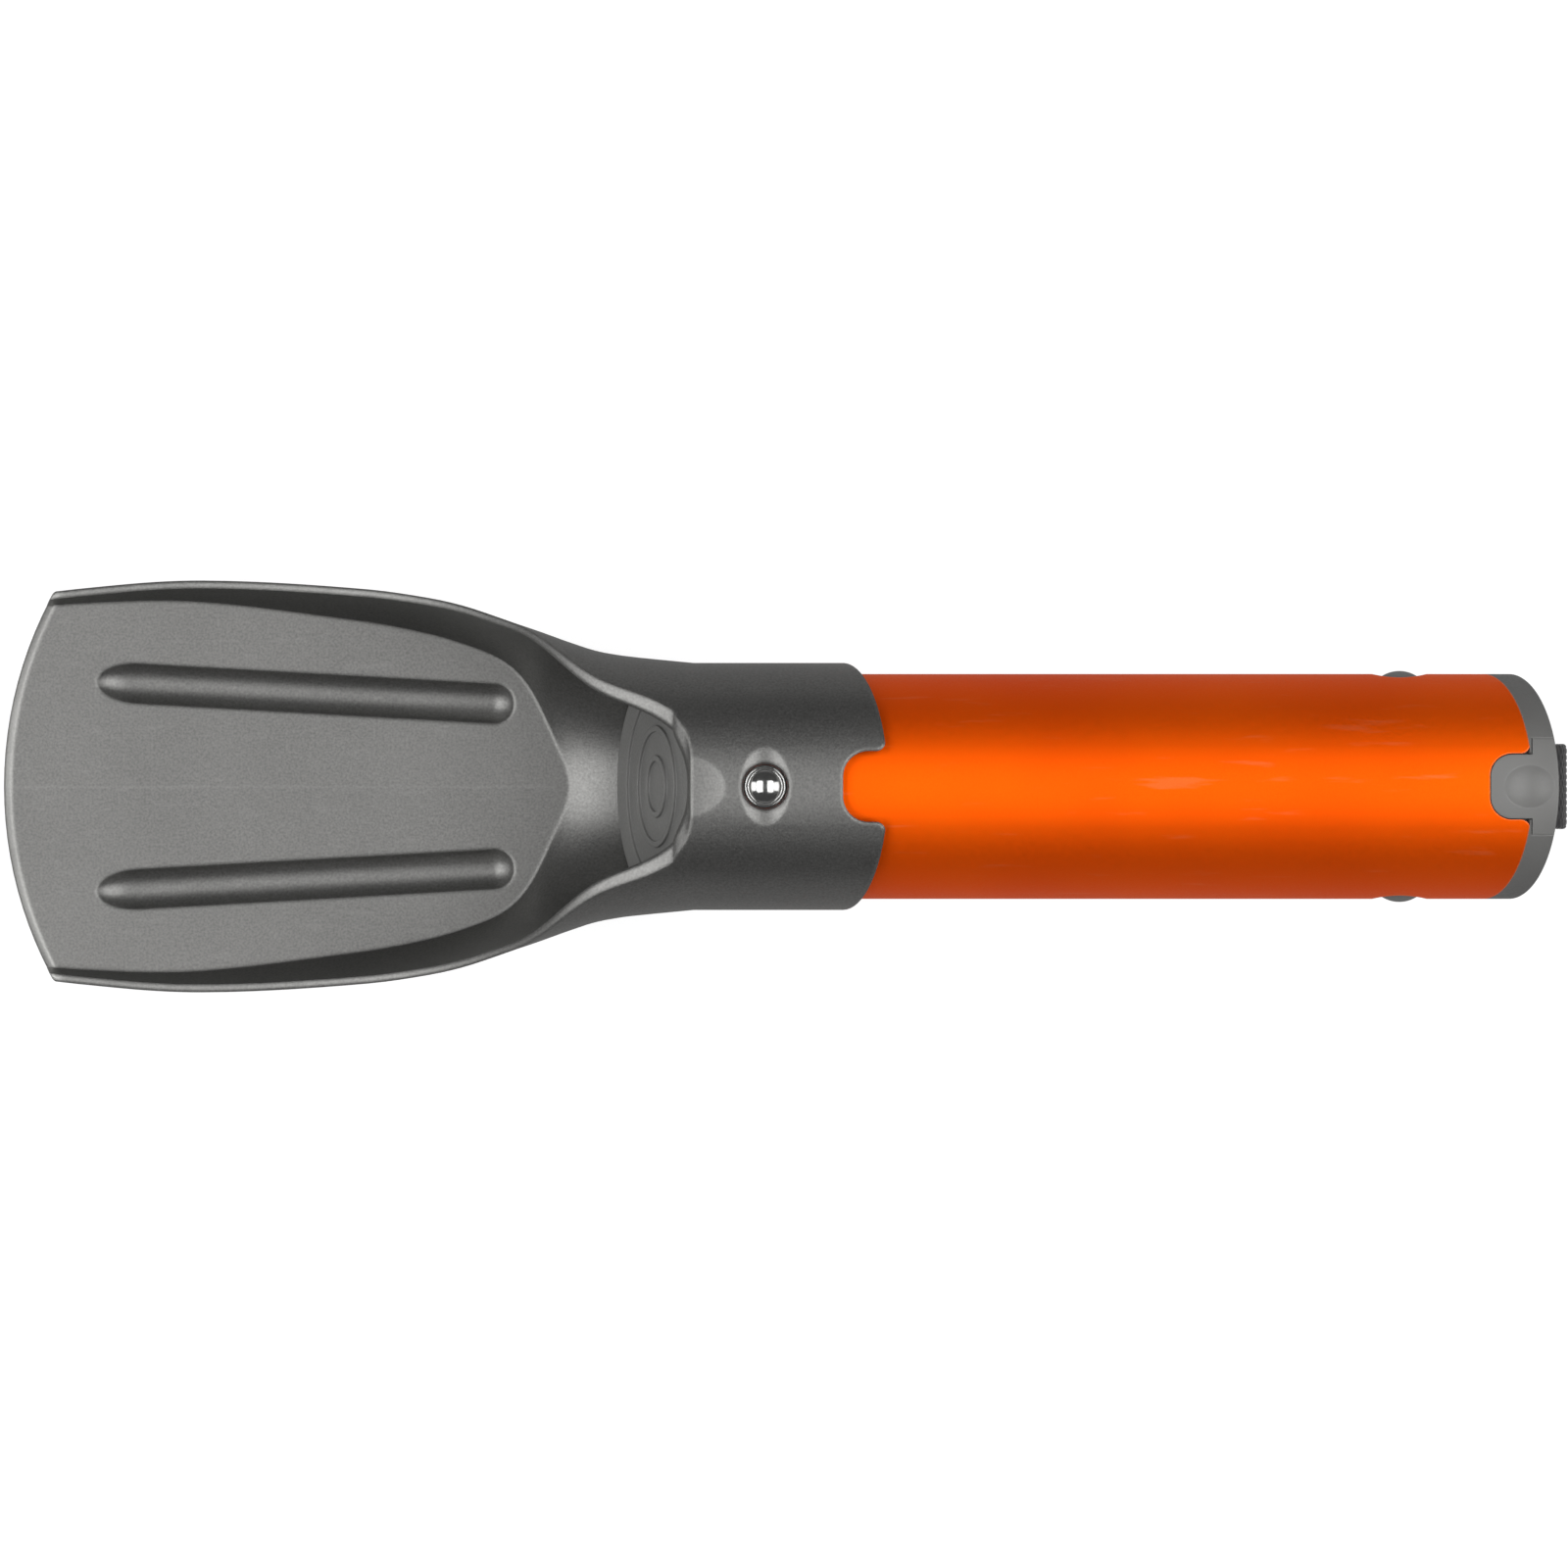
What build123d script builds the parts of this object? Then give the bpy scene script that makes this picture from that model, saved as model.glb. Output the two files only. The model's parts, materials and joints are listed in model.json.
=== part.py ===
"""Collapsible camp trowel: an alloy scoop, and a tube handle that slides forward over it.

X runs from the blade's tip (-X) to the pull strap (+X), Y across, Z up out of the scoop. Each piece is
modelled about the handle's axis, with X = 0 at the snap button, and placed when it is written, so that
the origin ends up under the middle of the whole trowel, on the surface that it stands on.
"""

from build123d import *
import math
import os

# Handle tube
TUBE_OD = 36.5
TUBE_WALL = 1.2
TUBE_END = 116.5  # from the snap button to the tube's rear end, at the height of its axis
END_SLANT = 23.0  # degrees by which the rear end leans back at the top
NOSE_END = 17.95  # from the snap button to the nose face, at the height of the axis
NOSE_SLANT = 18.6
TUBE_NOTCH_WIDTH = 10.7
TUBE_NOTCH_FLOOR = 117.3
TUBE_NOTCH_CORNER = 3.6

# Scoop head: collar and blade
SLIDE_CLEARANCE = 0.1  # all round between the tube and the collar's bore
HEAD_WALL = 1.7  # of the collar and the floor
SIDE_WALL = 1.25  # of the blade's sides
SIDE_THINS_BY = 0.25  # share of the way from the throat to the tip over which the sides thin down
COLLAR_END = 12.6
COLLAR_SLANT = 20.0
COLLAR_NOTCH_WIDTH = 11.5
COLLAR_NOTCH_FLOOR = 12.6
COLLAR_NOTCH_CORNER = 4.2
LOBE_CORNER = 1.5
NOTCH_RUN = 12.0  # by which a notch's cutter runs on past the end
BLADE_REACH = 124.0  # from the snap button to the blade's tip
BLADE_WIDTH = 67.0
TIP_RADIUS = 65.5
TIP_CORNER = 1.3
TIP_BEVEL = 1.1  # width of the bevel along the front edge
TIP_BEVEL_DROP = 0.66
FRONT_RUN = 15.0  # behind the tip's corners, over which the front is trimmed
TIP_FLARE = 15.0  # degrees by which the corner's rounding opens out from the handle's direction
FLOOR_DROP = 2.25  # the blade's floor below the bottom of the bore
THROAT = 11.6  # from the snap button to the arch over the scoop's throat
ARCH_LEAN = 0.9  # of the arch's side forward of its top
ARCH_DROP = 1.6  # of that place below the collar's top

# Ribs pressed into the blade's floor
RIB_LENGTH = 68.2
RIB_WIDTH = 6.6
RIB_DEPTH = 2.0
RIB_RAMP = 8.0  # over which the groove's front end deepens
RIB_LAND = 0.3  # pressed flat off the crest under the blade
RIB_START = 15.0  # from the blade's tip to the rib's front end
RIB_SPREAD = 15.2  # from the blade's centre line to the middle of the rib
RIB_TURN = 3.25  # degrees by which the ribs close towards the handle

# Snap button that locks the handle out
BUTTON_D = 6.9
BUTTON_SHOULDER = 0.75  # width of the step round the button's crown
BUTTON_CROWN = 1.3  # height of the domed crown over the step
BUTTON_PROUD = 0.6  # the button's top above the collar
BUTTON_LIP = 1.05  # by which the flange is wider than the button, all round
BUTTON_FLANGE = 1.2
BUTTON_GAP = 0.15  # all round the flange in the nose's well
BUTTON_HOLE_GAP = 0.4  # all round the button in the holes of the tube and the collar
FRONT_RELIEF_DEPTH = 0.6  # of the hollow where the collar meets the arch
FRONT_RELIEF_END = -6.4  # from the snap button to where the hollow runs out
FRONT_RELIEF_RUN = 6.6  # from the hollow's lowest line to where it runs out
DIMPLE_DEPTH = 1.0
DIMPLE_RADIUS = 8.4
SNAP_SPRING_ROOM = 6.2
STOP_GAP = 0.05  # between a button's flange and what stops it
SPRING_GAP = 0.1  # at each end of a coil spring
SPRING_INSET = 0.9  # by which the snap spring's mean diameter is less than the button's
SNAP_WIRE = 0.6
SNAP_TURNS = 3

# End cap and the two latch buttons that hold it in the tube
LATCH_AT = 102.9
LATCH_HOLE_D = 8.9
LATCH_GAP = 0.1
LATCH_PROUD = 0.5
LATCH_CROWN = 0.85  # by which the dome's radius is larger than the hole's
LATCH_LIP = 0.55  # by which the flange is wider than the hole, all round
LATCH_FLANGE = 1.2
LATCH_SHOULDER = 0.9  # from the middle of the dome out to the flange's outer face
LATCH_SPRING_INSET = 1.5  # by which the spring's coils lie inside the flange
LATCH_WIRE = 0.7
LATCH_TURNS = 6
DETENT_GAP = 0.25
CAP_CLEARANCE = 0.1
CAP_THICKNESS = 4.2  # of the part behind the tube, along the handle
CAP_PLATE = 2.5
CAP_WALL = 2.2
BARREL_WALL = 1.4  # round the latches
CAP_SPIGOT = 20.0  # from the tube's end at axis height to the front of the cap
TAB_WIDTH = 15.6
TAB_BED = 0.7  # of the cap's wall left under the tab
TAB_GAP = 0.15
TAB_SHARE = 0.97  # of the tube end's lean at which the tab widens behind the tube
TAB_SCOOP_RADIUS = 7.6  # of the thumb hollow in the tab
TAB_SCOOP_AT = 7.2  # from the tube's end at axis height to the hollow's middle
TAB_SCOOP_DEPTH = 1.2

# Pull strap
STRAP_WIDTH = 13.9
STRAP_THICKNESS = 1.4
STRAP_HEIGHT = 9.2  # outside height of the bow off the cap's rear face
STRAP_STOP = 2.0
STRAP_GAP = 0.15
SLOT_GAP = 0.2

# Nose plug
PLUG_FLANGE = 2.5
PLUG_CLEARANCE = 0.05
PLUG_WALL = 2.0
PLUG_REAR = 9.0
RELIEF_DEPTH = 0.5
RELIEF_RADIUS = 14.6
RING_RADII = (4.6, 9.4)
RING_WIDTH = 0.9

SECTION_POINTS = 32
FAR = 80.0  # from the axis, well outside every piece
LOBE_SHARE = 0.94  # of a slanted end's lean that is reached beside its notch

tube_r = TUBE_OD / 2
tube_bore_r = tube_r - TUBE_WALL
bore_r = tube_r + SLIDE_CLEARANCE
collar_r = bore_r + HEAD_WALL
floor_depth = bore_r + FLOOR_DROP
ground_depth = floor_depth + HEAD_WALL + RIB_DEPTH - RIB_LAND
rib_r = (RIB_WIDTH**2 / 4 + RIB_DEPTH**2) / (2 * RIB_DEPTH)
latch_crest = tube_r + LATCH_PROUD
latch_dome_r = LATCH_HOLE_D / 2 + LATCH_CROWN
latch_centre = latch_crest - latch_dome_r
latch_flange_r = LATCH_HOLE_D / 2 + LATCH_LIP
latch_flange_out = latch_centre + LATCH_SHOULDER
button_flange_r = BUTTON_D / 2 + BUTTON_LIP
button_flange_top = math.sqrt(tube_bore_r**2 - button_flange_r**2) - STOP_GAP
button_top = collar_r + BUTTON_PROUD
spring_floor = button_flange_top - BUTTON_FLANGE - SNAP_SPRING_ROOM
cap_rear = TUBE_END + CAP_THICKNESS
slant = math.radians(END_SLANT)
cap_spigot_r = tube_bore_r - CAP_CLEARANCE
cap_hollow_r = cap_spigot_r - CAP_WALL
tab_floor = cap_hollow_r + TAB_BED
strap_leg = (CAP_THICKNESS + CAP_PLATE) * math.cos(slant) + STRAP_GAP
stop_top = math.sqrt(cap_hollow_r**2 - (STRAP_WIDTH / 2) ** 2) - STRAP_GAP
strap_half = (stop_top - (strap_leg + STRAP_STOP) * math.sin(slant)) / math.cos(slant)
strap_end = cap_rear + math.hypot(strap_half * math.sin(slant), STRAP_HEIGHT * math.cos(slant))

PLACE = Location(((BLADE_REACH - strap_end) / 2, 0, ground_depth))


def rod(radius, start, end):
    """A round bar along the handle's axis."""
    return Pos((start + end) / 2, 0, 0) * Rot(0, 90, 0) * Cylinder(radius, end - start)


def cross_rod(radius, x, y_from, y_to):
    """A round bar across the handle."""
    return Pos(x, (y_from + y_to) / 2, 0) * Rot(90, 0, 0) * Cylinder(radius, abs(y_to - y_from))


def post(radius, z_from, z_to):
    """An upright round bar under the snap button."""
    return Pos(0, 0, (z_from + z_to) / 2) * Cylinder(radius, z_to - z_from)


def slant_plane(x, degrees):
    """The plane across the handle at x that leans back at the top, facing the strap."""
    lean = math.radians(degrees)
    return Plane(origin=(x, 0, 0), x_dir=(0, 1, 0), z_dir=(math.cos(lean), 0, -math.sin(lean)))


def ahead_of(piece, x, degrees):
    """The part of a piece on the blade's side of a leaning plane."""
    return split(piece, bisect_by=slant_plane(x, degrees), keep=Keep.BOTTOM)


def behind(piece, x, degrees):
    """The part of a piece on the strap's side of a leaning plane."""
    return split(piece, bisect_by=slant_plane(x, degrees), keep=Keep.TOP)


def rim_height(share):
    """The rim's height above the handle's axis."""
    return share * (floor_depth + collar_r) - floor_depth


def blade_station(share):
    """X at a share of the way from the throat to the tip."""
    return -THROAT - share * (BLADE_REACH - THROAT)


# The scoop's three curves, each given by the points that shape it: the share of the way from the throat
# to the tip, and there how far the half-width has grown from the collar's to the blade's, how far the rim
# has climbed from the floor to the collar's top, and how far below the collar the side walls would reach
# if the floor didn't cut them off.
PLAN = (
    (0, 0), (0.12, 0.11), (0.24, 0.43), (0.36, 0.75),
    (0.48, 0.90), (0.72, 1), (0.90, 0.89), (1.02, 0.74),
)
RIM = (
    (0.03, 0.902), (0.08, 0.852), (0.15, 0.793), (0.25, 0.56),
    (0.36, 0.34), (0.54, 0.202), (0.79, 0.113), (1.02, 0.057),
)
WALLS = (
    (0, 0), (0.10, 0.4), (0.19, 2.2), (0.29, 15.5),
    (0.38, 17.5), (0.54, 18.6), (0.79, 25), (1.02, 35),
)
STATIONS = 26


def curve_at(points, share):
    """The height at a share of the way of a smooth curve that doesn't overshoot its points."""
    rises = [(b[1] - a[1]) / (b[0] - a[0]) for a, b in zip(points, points[1:])]
    slopes = [rises[0]]
    for before, after in zip(rises, rises[1:]):
        slopes.append(2 * before * after / (before + after) if before * after > 0 else 0)
    slopes.append(rises[-1])
    n = max(k for k in range(len(rises)) if k == 0 or points[k][0] <= share)
    (start, low), (end, high) = points[n], points[n + 1]
    width = end - start
    t = (share - start) / width
    bend = t * t * (3 - 2 * t)
    tilt = slopes[n] * t * (1 - t) ** 2 - slopes[n + 1] * t * t * (1 - t)
    return low + bend * (high - low) + width * tilt


def oval(x, half_width, depth, top):
    """A closed cross-section whose lower half reaches deeper than its upper half."""
    points = []
    for k in range(SECTION_POINTS):
        turn = math.pi + 2 * math.pi * k / SECTION_POINTS
        reach = depth if math.cos(turn) > 0 else top
        points.append(Vector(x, half_width * math.sin(turn), -reach * math.cos(turn)))
    steps = [k / SECTION_POINTS for k in range(SECTION_POINTS + 1)]
    return Face(Wire([Edge.make_spline(points, periodic=True, parameters=steps)]))


def flare(inset):
    """Cross-sections of the flaring tube from past the tip to the collar, brought in by inset."""
    sections = []
    for k in range(STATIONS - 1):
        share = PLAN[-1][0] * (1 - k / (STATIONS - 1)) ** 1.25
        side_inset = inset * (1 - (1 - SIDE_WALL / HEAD_WALL) * min(1, share / SIDE_THINS_BY))
        at_rim = collar_r + curve_at(PLAN, share) * (BLADE_WIDTH / 2 - collar_r) - side_inset
        deep = collar_r + curve_at(WALLS, share) - side_inset
        rim = min(0, rim_height(curve_at(RIM, share)))
        widest = at_rim / math.sqrt(1 - (rim / deep) ** 2)
        sections.append(oval(blade_station(share), widest, deep, collar_r - inset))
    throat = Plane(origin=(-THROAT, 0, 0), x_dir=(0, 0, 1), z_dir=(1, 0, 0))
    return sections + [Face(Wire([Edge.make_circle(collar_r - inset, plane=throat)]))]


def scoop_form(inset):
    """The flaring tube with a flat floor, run on into the collar, brought in from outside by inset."""
    floor = -floor_depth - HEAD_WALL + inset
    pan = split(loft(flare(inset)), bisect_by=Plane.XY.offset(floor), keep=Keep.TOP)
    return pan + rod(collar_r - inset, -THROAT, COLLAR_END + collar_r)


def rim_cut():
    """What lies above the scoop's rim and in front of the throat's arch, seen from the side."""
    rim = [(blade_station(share), rim_height(climb)) for share, climb in reversed(RIM)]
    curve = Spline(*rim)
    corner = curve @ 1
    side = (-THROAT - ARCH_LEAN, collar_r - ARCH_DROP)
    arch = Spline(corner, side, (-THROAT, collar_r + HEAD_WALL), tangents=((0.5, 1), (0.2, 1)))
    ahead = -BLADE_REACH - FAR
    over = Polyline(arch @ 1, (-THROAT, FAR), (ahead, FAR), (ahead, rim[0][1]), curve @ 0)
    outline = make_face(curve + arch + over)
    return extrude(Plane.XZ * outline, FAR, both=True)


def notch_cut(width, floor, mouth, corner):
    """A U-shaped notch in the top of a tube's rear end, with rounded corners at its floor and mouth."""
    end = mouth + NOTCH_RUN
    slot = Pos((floor + end) / 2, 0) * Rectangle(end - floor, width)
    outside = Pos((mouth + end) / 2, 0) * Rectangle(NOTCH_RUN, width + 4 * LOBE_CORNER)
    outline = slot + outside
    inner = outline.vertices().filter_by_position(Axis.X, floor - 0.1, floor + 0.1)
    outline = fillet(inner, corner)
    edge = outline.vertices().filter_by_position(Axis.X, mouth - 0.1, mouth + 0.1)
    edge = edge.filter_by_position(Axis.Y, -width / 2 - 0.1, width / 2 + 0.1)
    outline = fillet(edge, LOBE_CORNER)
    return extrude(outline, FAR)


def rib(side, wall):
    """One rib as a round bar lying in the blade, thicker by wall, with a long ramp at its front end."""
    radius = rib_r + wall
    ramp = RIB_RAMP + wall
    over = 1 - math.sqrt(1 - (1 - RIB_DEPTH / rib_r) ** 2)  # the share of an end that stays over the floor
    front = -RIB_LENGTH / 2 - over * RIB_RAMP - wall
    rear = RIB_LENGTH / 2 + over * rib_r + wall
    nose = EllipticalCenterArc((front + ramp, 0), ramp, radius, start_angle=90, arc_size=90)
    tail = CenterArc((rear - radius, 0), radius, 0, 90)
    outline = make_face(nose + tail + Polyline(nose @ 1, (rear, 0)) + Polyline(tail @ 1, nose @ 0))
    middle = -BLADE_REACH + RIB_START + RIB_LENGTH / 2
    axis_z = rib_r - RIB_DEPTH - floor_depth
    return Pos(middle, side * RIB_SPREAD, axis_z) * Rot(0, 0, -side * RIB_TURN) * revolve(outline, Axis.X)


def tip_trim():
    """What lies outside the blade's front: an arc, with its corners rounded off."""
    centre = TIP_RADIUS - BLADE_REACH
    half, reach = BLADE_WIDTH / 2, TIP_RADIUS
    for _ in range(20):  # the corner lies on the arc and on the blade's side
        corner = centre - math.sqrt(reach**2 - half**2)
        share = (-corner - THROAT) / (BLADE_REACH - THROAT)
        half = collar_r + curve_at(PLAN, share) * (BLADE_WIDTH / 2 - collar_r)
    rear = corner + FRONT_RUN
    wide = half + FRONT_RUN * math.tan(math.radians(TIP_FLARE))
    arc = ThreePointArc((corner, -half), (-BLADE_REACH, 0), (corner, half))
    outline = make_face(arc + Polyline(arc @ 1, (rear, wide), (rear, -wide), arc @ 0))
    corners = outline.vertices().filter_by_position(Axis.X, corner - 0.1, corner + 0.1)
    outline = fillet(corners, TIP_CORNER)
    before = Pos(rear - FAR, 0) * Rectangle(2 * FAR, 2 * FAR)
    return Pos(0, 0, -FAR) * extrude(before - outline, 2 * FAR)


def tip_bevel():
    """The wedge taken off the floor along the blade's front edge."""
    cone = Cone(TIP_RADIUS, TIP_RADIUS - TIP_BEVEL, TIP_BEVEL_DROP)
    wedge = Box(2 * FRONT_RUN, 4 * RIB_SPREAD, TIP_BEVEL_DROP)
    middle = -floor_depth - TIP_BEVEL_DROP / 2
    return Pos(-BLADE_REACH, 0, middle) * wedge - Pos(TIP_RADIUS - BLADE_REACH, 0, middle) * cone


def blade_head():
    head = scoop_form(0) - scoop_form(HEAD_WALL) - rim_cut() - tip_trim() - tip_bevel()
    for side in (-1, 1):
        ridge = split(rib(side, HEAD_WALL), bisect_by=Plane.XY.offset(-floor_depth), keep=Keep.BOTTOM)
        head += split(ridge, bisect_by=Plane.XY.offset(-ground_depth), keep=Keep.TOP)
    for side in (-1, 1):
        head -= rib(side, 0)
    head = ahead_of(head, COLLAR_END, COLLAR_SLANT)
    mouth = COLLAR_END + collar_r * math.tan(math.radians(COLLAR_SLANT)) * LOBE_SHARE
    head -= notch_cut(COLLAR_NOTCH_WIDTH, COLLAR_NOTCH_FLOOR, mouth, COLLAR_NOTCH_CORNER)
    head -= post(BUTTON_D / 2 + BUTTON_HOLE_GAP, 0, FAR)
    head -= Pos(0, 0, collar_r - DIMPLE_DEPTH + DIMPLE_RADIUS) * Rot(90, 0, 0) * Cylinder(DIMPLE_RADIUS, 2 * FAR)
    relief_r = (FRONT_RELIEF_RUN**2 + FRONT_RELIEF_DEPTH**2) / (2 * FRONT_RELIEF_DEPTH)
    relief_z = collar_r - FRONT_RELIEF_DEPTH + relief_r
    head -= Pos(FRONT_RELIEF_END - FRONT_RELIEF_RUN, 0, relief_z) * Rot(90, 0, 0) * Cylinder(relief_r, 2 * FAR)
    for side in (-1, 1):
        head -= Pos(0, side * latch_centre, 0) * Sphere(latch_dome_r + DETENT_GAP)
    return head


def handle_tube():
    tube = rod(tube_r, -FAR, 2 * FAR) - rod(tube_bore_r, -2 * FAR, 3 * FAR)
    tube = behind(tube, -NOSE_END + PLUG_FLANGE, NOSE_SLANT)
    tube = ahead_of(tube, TUBE_END, END_SLANT)
    mouth = TUBE_END + tube_r * math.tan(slant) * LOBE_SHARE
    tube -= notch_cut(TUBE_NOTCH_WIDTH, TUBE_NOTCH_FLOOR, mouth, TUBE_NOTCH_CORNER)
    tube -= post(BUTTON_D / 2 + BUTTON_HOLE_GAP, 0, FAR)
    tube -= cross_rod(LATCH_HOLE_D / 2, LATCH_AT, -FAR, FAR)
    return tube


def nose_plug():
    flange = rod(tube_r, -FAR, FAR)
    flange = ahead_of(behind(flange, -NOSE_END, NOSE_SLANT), -NOSE_END + PLUG_FLANGE, NOSE_SLANT)
    spigot_r = tube_bore_r - PLUG_CLEARANCE
    spigot = behind(rod(spigot_r, -FAR, PLUG_REAR), -NOSE_END + PLUG_FLANGE, NOSE_SLANT)
    hollow = behind(rod(spigot_r - PLUG_WALL, -FAR, FAR), -NOSE_END + 2 * PLUG_FLANGE, NOSE_SLANT)
    well_r = button_flange_r + BUTTON_GAP
    boss = post(well_r + PLUG_WALL, spring_floor - PLUG_WALL, tube_r) & rod(spigot_r, -FAR, FAR)
    plug = flange + (spigot - hollow) + boss - post(well_r, spring_floor, tube_r)
    face = slant_plane(-NOSE_END, NOSE_SLANT)
    relief = face * Circle(RELIEF_RADIUS)
    for radius in RING_RADII:
        relief -= face * (Circle(radius + RING_WIDTH / 2) - Circle(radius - RING_WIDTH / 2))
    return plug - extrude(relief, RELIEF_DEPTH)


def snap_button():
    crown_r = BUTTON_D / 2 - BUTTON_SHOULDER
    shoulder = button_top - BUTTON_CROWN
    flange_low = button_flange_top - BUTTON_FLANGE
    stem = post(BUTTON_D / 2, flange_low, shoulder)
    stem = chamfer(stem.edges().group_by(Axis.Z)[-1], BUTTON_SHOULDER / 3)
    dome_r = (crown_r**2 + BUTTON_CROWN**2) / (2 * BUTTON_CROWN)
    crown = Pos(0, 0, button_top - dome_r) * Sphere(dome_r) & post(crown_r, shoulder - BUTTON_CROWN, FAR)
    return stem + crown + post(button_flange_r, flange_low, button_flange_top)


def coil_spring(length, mean_d, wire_d, turns):
    """A coil spring standing on the origin."""
    rise = length - wire_d
    path = Helix(pitch=rise / turns, height=rise, radius=mean_d / 2)
    wire = Plane(origin=path @ 0, z_dir=path % 0) * Circle(wire_d / 2)
    return Pos(0, 0, wire_d / 2) * sweep(wire, path=path, is_frenet=True)


def snap_spring():
    coil = coil_spring(SNAP_SPRING_ROOM - 2 * SPRING_GAP, BUTTON_D - SPRING_INSET, SNAP_WIRE, SNAP_TURNS)
    return Pos(0, 0, spring_floor + SPRING_GAP) * coil


def tab_outline(gap):
    """The tab's outline from above: a tongue in the tube's notch, and wide shoulders behind the tube."""
    tongue_w = TUBE_NOTCH_WIDTH - 2 * gap
    front = TUBE_NOTCH_FLOOR + gap
    tongue = Pos(front + FAR / 2, 0) * Rectangle(FAR, tongue_w)
    mouth = TUBE_END + tube_r * math.tan(slant) * TAB_SHARE
    shoulders = Pos(mouth + gap + FAR / 2, 0) * Rectangle(FAR, TAB_WIDTH)
    outline = tongue + shoulders
    corners = outline.vertices().filter_by_position(Axis.X, front - 0.1, front + 0.1)
    return fillet(corners, TUBE_NOTCH_CORNER - gap)


def cap_tab():
    tab = Pos(0, 0, tab_floor) * extrude(tab_outline(TAB_GAP), FAR)
    tab = ahead_of(tab & rod(tube_r, 0, 2 * FAR), cap_rear, END_SLANT)
    hollow_z = tube_r + TAB_SCOOP_RADIUS - TAB_SCOOP_DEPTH
    return tab - Pos(TUBE_END + TAB_SCOOP_AT, 0, hollow_z) * Sphere(TAB_SCOOP_RADIUS)


def strap_bow(half, height, depth):
    """The side view of the bow's outline over the cap's rear face, with legs going into the cap."""
    bow = EllipticalCenterArc((0, 0), height, half, start_angle=-90, arc_size=180)
    legs = Polyline(bow @ 1, (-depth, half), (-depth, -half), bow @ 0)
    return make_face(bow + legs)


def strap_solid(gap):
    """The strap's band, or with a gap, the room that it needs in the cap."""
    outer = strap_bow(strap_half + gap, STRAP_HEIGHT + gap, strap_leg)
    inner_half = strap_half - STRAP_THICKNESS - gap
    inner = strap_bow(inner_half, STRAP_HEIGHT - STRAP_THICKNESS - gap, strap_leg + STRAP_STOP)
    return extrude(outer - inner, STRAP_WIDTH / 2 + gap, both=True)


def on_rear_face(piece):
    """Place a piece drawn with X off the cap's rear face and Y up along it."""
    return Pos(cap_rear, 0, 0) * Rot(0, END_SLANT, 0) * Rot(90, 0, 0) * piece


def pull_strap():
    strap = strap_solid(0)
    for side in (-1, 1):
        stop = Pos(-strap_leg - STRAP_STOP / 2, side * (strap_half - STRAP_STOP / 2))
        strap += stop * Box(STRAP_STOP, STRAP_STOP, STRAP_WIDTH)
    return on_rear_face(strap)


def end_cap():
    front = TUBE_END - CAP_SPIGOT
    disc = ahead_of(behind(rod(tube_r, 0, 2 * FAR), TUBE_END, END_SLANT), cap_rear, END_SLANT)
    spigot = ahead_of(rod(cap_spigot_r, front, 2 * FAR), TUBE_END, END_SLANT)
    hollow = ahead_of(rod(cap_hollow_r, 0, 2 * FAR), TUBE_END - CAP_PLATE, END_SLANT)
    well_r = latch_flange_r + LATCH_GAP
    barrel = cross_rod(well_r + BARREL_WALL, LATCH_AT, -FAR, FAR) & rod(cap_spigot_r, 0, 2 * FAR)
    cap = disc + (spigot - hollow) + barrel
    shoulder = latch_flange_out + STOP_GAP
    cap -= cross_rod(well_r, LATCH_AT, -shoulder, shoulder)
    cap -= cross_rod(LATCH_HOLE_D / 2, LATCH_AT, -tube_r, tube_r)
    cap -= Pos(0, 0, tab_floor) * extrude(tab_outline(0), FAR)
    return cap - on_rear_face(strap_solid(SLOT_GAP))


def latch_button(side):
    """One latch: a domed pin with a flange that the cap holds in, on the +Y or -Y side."""
    pin_r = LATCH_HOLE_D / 2 - LATCH_GAP
    inner = latch_flange_out - LATCH_FLANGE
    dome = Pos(LATCH_AT, side * latch_centre, 0) * Sphere(latch_dome_r)
    pin = dome & cross_rod(pin_r, LATCH_AT, side * latch_flange_out, side * FAR)
    return pin + cross_rod(latch_flange_r, LATCH_AT, side * inner, side * latch_flange_out)


def latch_spring():
    room = 2 * (latch_flange_out - LATCH_FLANGE)
    mean_d = 2 * (latch_flange_r - LATCH_SPRING_INSET)
    coil = coil_spring(room - 2 * SPRING_GAP, mean_d, LATCH_WIRE, LATCH_TURNS)
    coil = Pos(0, 0, SPRING_GAP - room / 2) * coil
    return Pos(LATCH_AT, 0, 0) * Rot(90, 0, 0) * coil


NODES = {
    "blade_head": blade_head,
    "handle_tube": handle_tube,
    "nose_plug": nose_plug,
    "snap_button": snap_button,
    "snap_spring": snap_spring,
    "end_cap": end_cap,
    "cap_tab": cap_tab,
    "latch_button_left": lambda: latch_button(1),
    "latch_button_right": lambda: latch_button(-1),
    "latch_spring": latch_spring,
    "pull_strap": pull_strap,
}

os.makedirs("parts", exist_ok=True)
for name, make in NODES.items():
    export_step(PLACE * make(), f"parts/{name}.step")
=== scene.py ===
import json
import math

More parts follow.
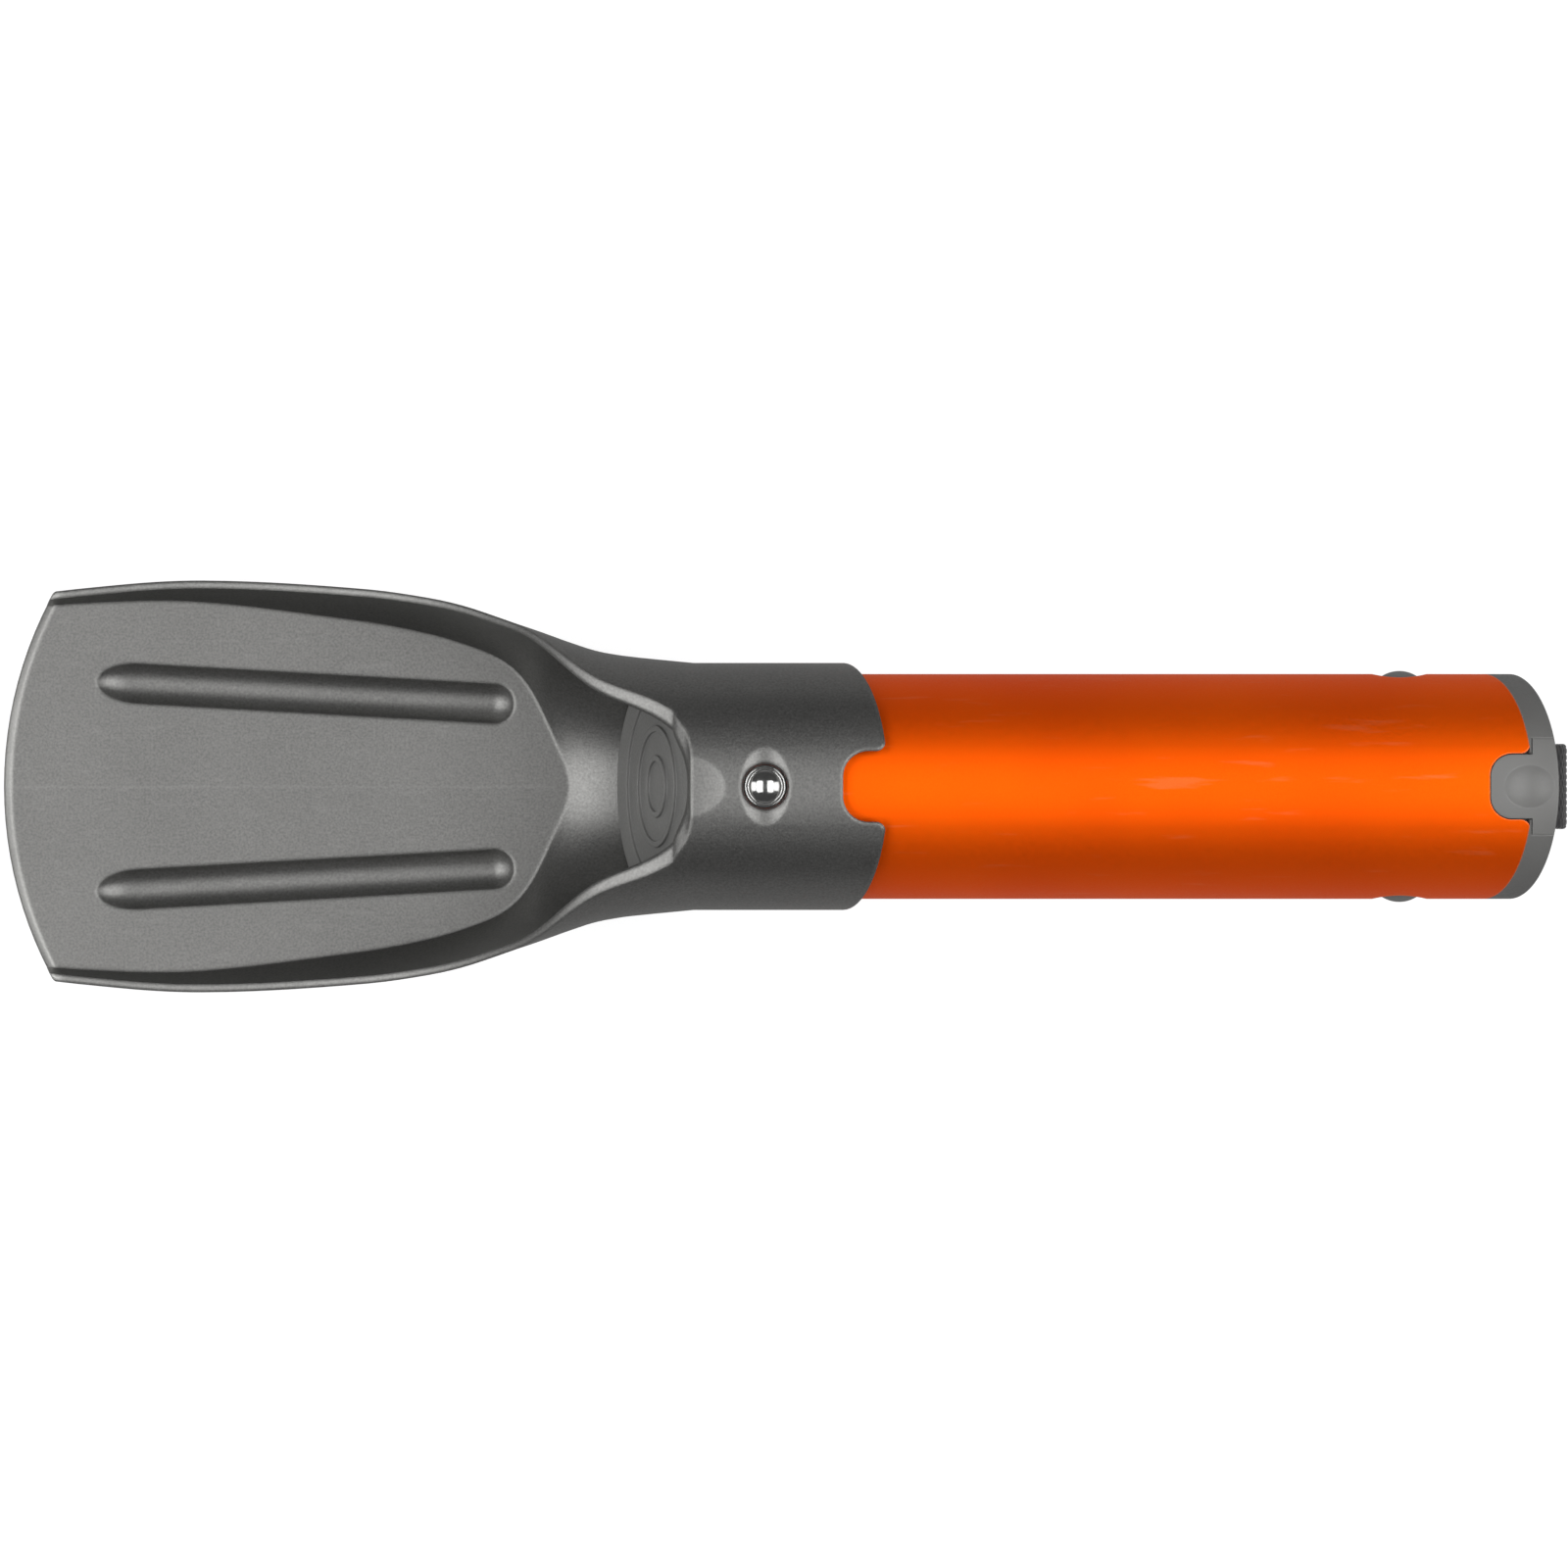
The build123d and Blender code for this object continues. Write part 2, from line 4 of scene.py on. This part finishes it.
import bmesh
import bpy
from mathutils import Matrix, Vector


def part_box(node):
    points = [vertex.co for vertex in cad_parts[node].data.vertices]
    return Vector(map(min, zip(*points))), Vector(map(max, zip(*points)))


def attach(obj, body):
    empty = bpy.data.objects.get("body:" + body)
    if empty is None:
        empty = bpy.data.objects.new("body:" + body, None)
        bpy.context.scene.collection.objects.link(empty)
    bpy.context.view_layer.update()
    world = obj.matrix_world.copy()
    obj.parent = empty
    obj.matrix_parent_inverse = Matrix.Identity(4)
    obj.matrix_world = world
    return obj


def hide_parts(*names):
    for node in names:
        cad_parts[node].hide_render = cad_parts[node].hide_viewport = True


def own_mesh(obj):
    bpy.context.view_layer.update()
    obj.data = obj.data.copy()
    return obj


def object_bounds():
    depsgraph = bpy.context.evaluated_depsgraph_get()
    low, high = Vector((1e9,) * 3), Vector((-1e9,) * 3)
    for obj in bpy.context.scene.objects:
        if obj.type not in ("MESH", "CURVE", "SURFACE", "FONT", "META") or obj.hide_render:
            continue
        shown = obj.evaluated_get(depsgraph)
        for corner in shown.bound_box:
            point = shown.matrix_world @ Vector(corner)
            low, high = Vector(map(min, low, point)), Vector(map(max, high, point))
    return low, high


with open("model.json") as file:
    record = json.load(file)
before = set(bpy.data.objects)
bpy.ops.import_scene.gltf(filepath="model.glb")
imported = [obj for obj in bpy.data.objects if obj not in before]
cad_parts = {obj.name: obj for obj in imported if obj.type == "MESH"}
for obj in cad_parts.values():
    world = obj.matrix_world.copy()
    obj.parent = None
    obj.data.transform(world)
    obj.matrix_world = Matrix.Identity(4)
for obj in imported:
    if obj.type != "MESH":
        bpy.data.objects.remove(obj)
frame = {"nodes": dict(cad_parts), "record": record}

CAD_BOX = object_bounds()
MM = 0.001
scene = bpy.context.scene


# ---------------------------------------------------------------- places, all from the frame

def middle(node):
    low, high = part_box(node)
    return (Vector(low) + Vector(high)) / 2


# sizes that a box doesn't tell, the same as in the part
TIP_RADIUS = 65.5 * MM  # of the blade's front edge
THROAT = 11.6 * MM  # from the snap button to the arch over the scoop's throat
FLOOR_DROP = 2.35 * MM  # the blade's floor below the tube
SLANT = math.radians(23)  # by which the tube's rear end leans back

AXIS_Z = middle("handle_tube").z
TUBE_R = (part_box("handle_tube")[1][1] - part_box("handle_tube")[0][1]) / 2
TIP_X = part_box("blade_head")[0][0]
THROAT_X = middle("snap_button").x - THROAT
FLOOR_Z = AXIS_Z - TUBE_R - FLOOR_DROP
CAP_REAR_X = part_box("cap_tab")[1][0] - TUBE_R * math.tan(SLANT)


# ---------------------------------------------------------------- material helpers

class Shader:
    """A short way to write a Principled material's node tree."""

    def __init__(self, name):
        self.material = bpy.data.materials.new(name)
        self.material.use_nodes = True
        self.tree = self.material.node_tree
        self.surface = self.tree.nodes["Principled BSDF"]
        self.place = self.node("ShaderNodeTexCoord").outputs["Object"]

    def node(self, kind, **settings):
        made = self.tree.nodes.new(kind)
        for key, value in settings.items():
            setattr(made, key, value)
        return made

    def put(self, socket, value):
        if isinstance(value, bpy.types.NodeSocket):
            self.tree.links.new(value, socket)
        else:
            socket.default_value = value

    def set(self, **values):
        for key, value in values.items():
            self.put(self.surface.inputs[key.replace("_", " ")], value)

    def math(self, operation, a, b=0.0, clamp=False):
        made = self.node("ShaderNodeMath", operation=operation, use_clamp=clamp)
        self.put(made.inputs[0], a)
        self.put(made.inputs[1], b)
        return made.outputs[0]

    def stretch(self, scale):
        """Object coordinates scaled by a different amount along each axis."""
        made = self.node("ShaderNodeMapping")
        self.put(made.inputs["Vector"], self.place)
        made.inputs["Scale"].default_value = scale
        return made.outputs[0]

    def noise(self, scale, detail=2.0, where=None, rough=0.5):
        made = self.node("ShaderNodeTexNoise")
        self.put(made.inputs["Vector"], where or self.place)
        made.inputs["Scale"].default_value = scale
        made.inputs["Detail"].default_value = detail
        made.inputs["Roughness"].default_value = rough
        return made.outputs["Fac"]

    def split(self):
        made = self.node("ShaderNodeSeparateXYZ")
        self.put(made.inputs[0], self.place)
        return made.outputs

    def span(self, value, low, high, to_low=0.0, to_high=1.0):
        """A value carried from one range to another, and held at its ends."""
        made = self.node("ShaderNodeMapRange")
        self.put(made.inputs["Value"], value)
        ends = {"From Min": low, "From Max": high, "To Min": to_low, "To Max": to_high}
        for key, number in ends.items():
            made.inputs[key].default_value = number
        return made.outputs["Result"]

    def blend(self, amount, a, b):
        """A colour between a and b."""
        made = self.node("ShaderNodeMix", data_type="RGBA")
        self.put(made.inputs["Factor"], amount)
        self.put(made.inputs["A"], a)
        self.put(made.inputs["B"], b)
        return made.outputs["Result"]

    def bump(self, height, strength, distance, under=None):
        made = self.node("ShaderNodeBump")
        made.inputs["Strength"].default_value = strength
        made.inputs["Distance"].default_value = distance
        self.put(made.inputs["Height"], height)
        if under:
            self.put(made.inputs["Normal"], under)
        return made.outputs["Normal"]

    def rounded(self, radius):
        """Normals turned over a small radius at every hard edge."""
        made = self.node("ShaderNodeBevel", samples=6)
        made.inputs["Radius"].default_value = radius
        return made.outputs["Normal"]

    def edges(self, normal, low=0.985, high=0.80):
        """1 on hard edges, 0 away from them, from the rounded normals."""
        made = self.node("ShaderNodeVectorMath", operation="DOT_PRODUCT")
        self.put(made.inputs[0], normal)
        self.put(made.inputs[1], self.node("ShaderNodeNewGeometry").outputs["Normal"])
        return self.span(made.outputs["Value"], low, high)


def grey(level):
    """A grey that leans a little to yellow."""
    return (level, level * 0.995, level * 0.965, 1)


# ---------------------------------------------------------------- materials

def alloy():
    """Hard-anodised alloy: satin dark grey with a fine blasted grain, rubbed edges, and a crease with a
    painted highlight along it.
    """
    s = Shader("grey_anodised_alloy")
    soft = s.rounded(0.9 * MM)
    grain = s.noise(2600, 3)
    speck = s.noise(5200, 1)
    cloud = s.noise(40, 3)
    x, y, z = s.split()
    tone = s.math("ADD", s.span(grain, 0.3, 0.7, -0.30, 0.30), s.span(cloud, 0.3, 0.7, -0.10, 0.10))
    colour = s.blend(s.math("ADD", tone, 0.5, True), grey(0.135), grey(0.235))
    # a faint crease down the blade's middle, over the floor only: a small bump, and a painted highlight
    # that lightens the colour along it
    wander = s.span(s.noise(160, 2), 0.3, 0.7, -0.12 * MM, 0.12 * MM)
    off_middle = s.math("ADD", s.math("ABSOLUTE", y), wander)
    before_throat = s.span(x, THROAT_X - 20 * MM, THROAT_X - 24 * MM)
    on_floor = s.math("MULTIPLY", before_throat, s.span(z, FLOOR_Z + 1 * MM, FLOOR_Z + 0.3 * MM))
    crease_and_painted_highlight = s.math("MULTIPLY", s.span(off_middle, 0.45 * MM, 0.05 * MM), on_floor)
    # painted highlight: the colour is lightened along the crease, where it would catch the light
    colour = s.blend(s.math("MULTIPLY", crease_and_painted_highlight, 0.12), colour, grey(0.34))
    # digging wears the front edge bright
    run = s.math("SUBTRACT", x, TIP_X + TIP_RADIUS)
    reach = s.math("POWER", s.math("ADD", s.math("POWER", run, 2.0), s.math("POWER", y, 2.0)), 0.5)
    by_edge = s.span(reach, TIP_RADIUS - 1.7 * MM, TIP_RADIUS - 0.9 * MM)
    front = s.math("MULTIPLY", by_edge, s.span(x, TIP_X + 12 * MM, TIP_X + 10 * MM))
    worn_front = s.math("MULTIPLY", front, s.span(cloud, 0.35, 0.65, 0.20, 0.50))
    worn_edges = s.math("MULTIPLY", s.edges(soft), s.span(cloud, 0.3, 0.7, 0.05, 0.30))
    scuffs = s.span(s.noise(700, 4, s.stretch((0.25, 1, 1))), 0.60, 0.72)
    worn_floor = s.math("MULTIPLY", scuffs, s.math("MULTIPLY", on_floor, 0.07))
    worn = s.math("MAXIMUM", s.math("MAXIMUM", worn_front, worn_edges), worn_floor)
    s.set(Base_Color=s.blend(worn, colour, grey(0.42)), Metallic=0.96)
    satin = s.span(speck, 0.3, 0.7, 0.38, 0.50)
    s.set(Roughness=s.math("SUBTRACT", satin, s.math("MULTIPLY", worn, 0.08)))
    s.set(Normal=s.bump(grain, 0.35, 0.05 * MM, s.bump(crease_and_painted_highlight, 0.25, 0.1 * MM, soft)))
    return s.material


def orange():
    """Anodised orange tube: satin, with faint drawing lines along it and pale rubbed ends."""
    s = Shader("orange_anodised_alloy")
    soft = s.rounded(0.35 * MM)
    lines = s.noise(900, 2, s.stretch((0.03, 1, 1)))
    grain = s.noise(3500, 1)
    cloud = s.noise(30, 2)
    colour = s.blend(s.span(cloud, 0.3, 0.7), (0.93, 0.105, 0.0005, 1), (1.0, 0.130, 0.0008, 1))
    scuffs = s.span(s.noise(600, 4, s.stretch((0.12, 1, 1))), 0.62, 0.72)
    rubbed = s.math("MULTIPLY", s.edges(soft), 0.55)
    pale = s.math("MAXIMUM", rubbed, s.math("MULTIPLY", scuffs, 0.10))
    s.set(Base_Color=s.blend(pale, colour, (1.0, 0.42, 0.22, 1)), Metallic=0.95)
    s.set(Roughness=s.span(grain, 0.3, 0.7, 0.53, 0.63))
    s.set(Normal=s.bump(grain, 0.12, 0.03 * MM, s.bump(lines, 0.10, 0.03 * MM, soft)))
    return s.material


def plastic(name, level, rough):
    """Moulded plastic with a fine spark texture, paler where its edges are handled."""
    s = Shader(name)
    soft = s.rounded(0.45 * MM)
    grain = s.noise(2400, 3)
    cloud = s.noise(60, 2)
    colour = s.blend(s.span(cloud, 0.3, 0.7), grey(level * 0.88), grey(level * 1.12))
    rubbed = s.math("MULTIPLY", s.edges(soft), 0.5)
    s.set(Base_Color=s.blend(rubbed, colour, grey(level * 1.9)))
    s.set(Roughness=s.span(grain, 0.3, 0.7, rough - 0.07, rough + 0.07))
    s.set(Normal=s.bump(grain, 0.35, 0.05 * MM, soft))
    return s.material


def steel(name, rough):
    """Bare steel with faint turning marks."""
    s = Shader(name)
    soft = s.rounded(0.25 * MM)
    marks = s.noise(4000, 1)
    hair = s.noise(1500, 2, s.stretch((0.1, 1, 1)))
    s.set(Base_Color=s.blend(marks, (0.50, 0.50, 0.49, 1), (0.66, 0.66, 0.65, 1)), Metallic=1.0)
    s.set(Roughness=s.span(hair, 0.3, 0.7, rough * 0.7, rough * 1.3))
    s.set(Normal=s.bump(hair, 0.05, 0.02 * MM, soft))
    return s.material


def webbing():
    """Black woven nylon: the yarns are in the mesh, and their fibres, sheen and dust are here."""
    s = Shader("black_webbing")
    fibres = s.noise(5200, 2, s.stretch((1, 0.18, 1)))
    fuzz = s.noise(2600, 3)
    dust = s.span(s.noise(420, 3), 0.50, 0.75)
    colour = s.blend(fuzz, (0.007, 0.007, 0.008, 1), (0.030, 0.029, 0.030, 1))
    glints = s.math("MULTIPLY", s.span(fibres, 0.58, 0.75), 0.7)
    colour = s.blend(glints, colour, (0.105, 0.095, 0.088, 1))
    colour = s.blend(s.math("MULTIPLY", dust, 0.15), colour, (0.12, 0.11, 0.10, 1))
    s.set(Base_Color=colour, Roughness=0.78)
    s.set(Sheen_Weight=0.35, Sheen_Roughness=0.4, Specular_IOR_Level=0.3)
    s.set(Normal=s.bump(fibres, 0.6, 0.08 * MM, s.bump(fuzz, 0.3, 0.08 * MM)))
    return s.material


LOOKS = {
    "grey_anodised_alloy": alloy(),
    "orange_anodised_alloy": orange(),
    "grey_plastic": plastic("grey_plastic", 0.145, 0.46),
    "dark_plastic": plastic("dark_plastic", 0.113, 0.48),
    "polished_steel": steel("polished_steel", 0.17),
    "spring_steel": steel("spring_steel", 0.3),
    "black_webbing": webbing(),
}


def dress_cad_nodes():
    slots = {part["node"]: part["material_slot"] for part in frame["record"]["subparts"]}
    for node, piece in frame["nodes"].items():
        piece.data.materials.clear()
        piece.data.materials.append(LOOKS[slots[node]])


# ---------------------------------------------------------------- pull strap

STRAP_W, STRAP_T = 13.9 * MM, 1.4 * MM
STRAP_HIGH = 9.2 * MM - STRAP_T / 2  # of the band's middle line off the cap's rear face
STRAP_HALF = 10.44 * MM - STRAP_T / 2  # from the cap's middle to the band's middle line
LEG = 6.3 * MM  # of each end inside the cap
YARNS = 12  # side by side across the band
YARN_STEPS = 5
EDGE_STEPS = 6  # round each edge of the band
BOW_STEPS = 120
LEG_STEPS = 8
PICK = 1.25 * MM  # along the band, over which a yarn rises and dives once
PICK_STEPS = 6
RELIEF = 0.13 * MM  # of the yarns


def strap_path():
    """The strap's middle line off the cap's rear face: points, and the length run so far."""
    line = [(-LEG * (1 - k / LEG_STEPS), -STRAP_HALF) for k in range(LEG_STEPS)]
    for k in range(BOW_STEPS + 1):
        turn = math.pi * k / BOW_STEPS
        line.append((STRAP_HIGH * math.sin(turn), -STRAP_HALF * math.cos(turn)))
    line += [(-LEG * k / LEG_STEPS, STRAP_HALF) for k in range(1, LEG_STEPS + 1)]
    return even([Vector(p) for p in line], PICK / PICK_STEPS)


def even(line, step):
    """The same line with points a fixed step apart."""
    runs = [0.0]
    for a, b in zip(line, line[1:]):
        runs.append(runs[-1] + (b - a).length)
    count = round(runs[-1] / step)
    points, k = [], 0
    for n in range(count + 1):
        run = runs[-1] * n / count
        while k < len(line) - 2 and runs[k + 1] < run:
            k += 1
        points.append((line[k].lerp(line[k + 1], (run - runs[k]) / (runs[k + 1] - runs[k])), run))
    return points


def weave(run, across, face):
    """Height of the yarns over the band's face: warp yarns that dive under every other pick."""
    column = (across / STRAP_W + 0.5) * YARNS
    lane = math.floor(column)
    round_top = math.sqrt(max(0.0, 1 - (2 * (column - lane) - 1) ** 2))
    wave = 0.5 + 0.5 * math.cos(2 * math.pi * (run / PICK + 0.5 * (lane % 2) + 0.25 * face))
    return RELIEF * round_top * (0.25 + 0.75 * wave)


def band_section(run):
    """The band's cross-section at a place along it: points across it, and their lift off its middle."""
    across_steps = YARNS * YARN_STEPS
    flat = STRAP_W - STRAP_T
    side = STRAP_T / 2 - RELIEF * (0.6 + 0.4 * math.cos(2 * math.pi * run / PICK))
    loop = []
    for face, way in ((1, 1), (0, -1)):
        for k in range(across_steps + 1):
            across = way * flat * (k / across_steps - 0.5)
            lift = STRAP_T / 2 - RELIEF + weave(run, across * STRAP_W / flat, face)
            loop.append((across, way * lift))
        for k in range(1, EDGE_STEPS):
            turn = math.pi * k / EDGE_STEPS
            loop.append((way * (flat / 2 + side * math.sin(turn)), way * side * math.cos(turn)))
    return loop


def pull_strap():
    """The woven band, bowed off the cap's rear face, with its ends inside the cap."""
    off_cap = Vector((math.cos(SLANT), 0, -math.sin(SLANT)))
    up_cap = Vector((math.sin(SLANT), 0, math.cos(SLANT)))
    cap_middle = Vector((CAP_REAR_X, 0, AXIS_Z))
    bm = bmesh.new()
    rows = []
    path = strap_path()
    for n, (point, run) in enumerate(path):
        ahead = path[min(n + 1, len(path) - 1)][0] - path[max(n - 1, 0)][0]
        ahead.normalize()
        outward = Vector((ahead.y, -ahead.x))
        ring = []
        for across, lift in band_section(run):
            side_view = point + outward * lift
            place = cap_middle + off_cap * side_view.x + up_cap * side_view.y
            ring.append(bm.verts.new(place + Vector((0, across, 0))))
        rows.append(ring)
    for a, b in zip(rows, rows[1:]):
        for k in range(len(a)):
            bm.faces.new((a[k], a[(k + 1) % len(a)], b[(k + 1) % len(a)], b[k]))
    bm.faces.new(reversed(rows[0]))
    bm.faces.new(rows[-1])
    bmesh.ops.recalc_face_normals(bm, faces=bm.faces)
    mesh = bpy.data.meshes.new("webbing_strap")
    bm.to_mesh(mesh)
    bm.free()
    mesh.shade_smooth()
    mesh.materials.append(LOOKS["black_webbing"])
    strap = bpy.data.objects.new("webbing_strap", mesh)
    scene.collection.objects.link(strap)
    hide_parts("pull_strap")
    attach(strap, "cap")


# ---------------------------------------------------------------- springs

def coil(name, node, body, axis, anchor, side=0):
    """A spring, or its half on one side of the anchor."""
    source = frame["nodes"][node]
    bm = bmesh.new()
    bm.from_mesh(source.data)
    bm.transform(source.matrix_world)
    bmesh.ops.remove_doubles(bm, verts=bm.verts, dist=0.001 * MM)
    if side:
        whole = bm.verts[:] + bm.edges[:] + bm.faces[:]
        away = -side * axis
        cut = bmesh.ops.bisect_plane(bm, geom=whole, plane_co=anchor, plane_no=away, clear_outer=True)
        ends = [e for e in cut["geom_cut"] if isinstance(e, bmesh.types.BMEdge)]
        bmesh.ops.holes_fill(bm, edges=ends)
    mesh = bpy.data.meshes.new(name)
    bm.to_mesh(mesh)
    bm.free()
    mesh.shade_smooth()
    mesh.materials.append(LOOKS["spring_steel"])
    piece = bpy.data.objects.new(name, mesh)
    scene.collection.objects.link(piece)
    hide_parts(node)
    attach(piece, body)
    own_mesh(piece)


def springs():
    foot = middle("snap_spring")
    foot.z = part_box("snap_spring")[0][2]
    coil("snap_coil", "snap_spring", "handle", Vector((0, 0, 1)), foot)
    core = middle("latch_spring")
    for side, hand in ((1, "left"), (-1, "right")):
        name, joint = f"latch_coil_{hand}", f"latch_{hand}_press"
        coil(name, "latch_spring", "cap", Vector((0, 1, 0)), core, side)


# ---------------------------------------------------------------- studio

# softboxes over the tip and over the strap: how far out and up, their width and height, and their power
SOFTBOXES = {
    "box": (0.55, 0.95, 1.15, 0.6, 8.3),
    "low_box": (1.15, 0.55, 0.9, 0.7, 3.6),
}
ROOM_LIGHT = 0.07
TABLE_HALF = 3.0
TABLE_GAP = 0.2 * MM  # under the part
TABLE_GREY = 0.22
TABLE_GLOW = 0.14  # as a light, so low that the part's sides stay dark
TABLE_WHITE = 0.86  # as the camera sees it
CAMERA_UP = 6.0
CAMERA_SIDE = 0.4 * MM
VIEW_MARGIN = 1.0015


def softbox(name, side, out, up, width, height, power):
    """A soft light that faces the origin, with its width across the trowel."""
    light = bpy.data.lights.new(name, "AREA")
    light.shape = "RECTANGLE"
    light.size = width
    light.size_y = height
    light.energy = power
    lamp = bpy.data.objects.new(name, light)
    lamp.location = (side * out, 0, up)
    lamp.rotation_euler = (-lamp.location).to_track_quat("-Z", "Y").to_euler()
    scene.collection.objects.link(lamp)


def studio():
    """A dim room with softboxes at both ends of the trowel."""
    world = bpy.data.worlds.new("studio")
    scene.world = world
    world.use_nodes = True
    background = world.node_tree.nodes["Background"].inputs
    background["Color"].default_value = (1, 1, 1, 1)
    background["Strength"].default_value = ROOM_LIGHT
    for side in (-1, 1):
        for name, settings in SOFTBOXES.items():
            softbox(f"{name}_{side}", side, *settings)


def light_table():
    """The floor: white to the camera, and a dim light to the part."""
    bm = bmesh.new()
    corners = [(x * TABLE_HALF, y * TABLE_HALF, 0) for x, y in ((-1, -1), (1, -1), (1, 1), (-1, 1))]
    bm.faces.new([bm.verts.new(corner) for corner in corners])
    mesh = bpy.data.meshes.new("floor")
    bm.to_mesh(mesh)
    bm.free()
    floor = bpy.data.objects.new("floor", mesh)
    floor.location.z = CAD_BOX[0].z - TABLE_GAP
    scene.collection.objects.link(floor)
    s = Shader("floor")
    seen = s.node("ShaderNodeLightPath").outputs["Is Camera Ray"]
    s.set(Base_Color=(TABLE_GREY, TABLE_GREY, TABLE_GREY, 1), Roughness=0.8)
    s.set(Emission_Color=(1, 1, 1, 1), Emission_Strength=s.span(seen, 0, 1, TABLE_GLOW, TABLE_WHITE))
    mesh.materials.append(s.material)


def camera():
    """A very long lens straight above, so that the view has next to no perspective."""
    seen = (CAD_BOX[1].x - CAD_BOX[0].x) * VIEW_MARGIN
    data = bpy.data.cameras.new("camera")
    data.lens = data.sensor_width * CAMERA_UP / seen
    made = bpy.data.objects.new("camera", data)
    made.location = ((CAD_BOX[0].x + CAD_BOX[1].x) / 2, CAMERA_SIDE, CAMERA_UP + AXIS_Z)
    scene.collection.objects.link(made)
    scene.camera = made


dress_cad_nodes()
pull_strap()
springs()
studio()
light_table()
camera()
scene.view_settings.view_transform = "Standard"
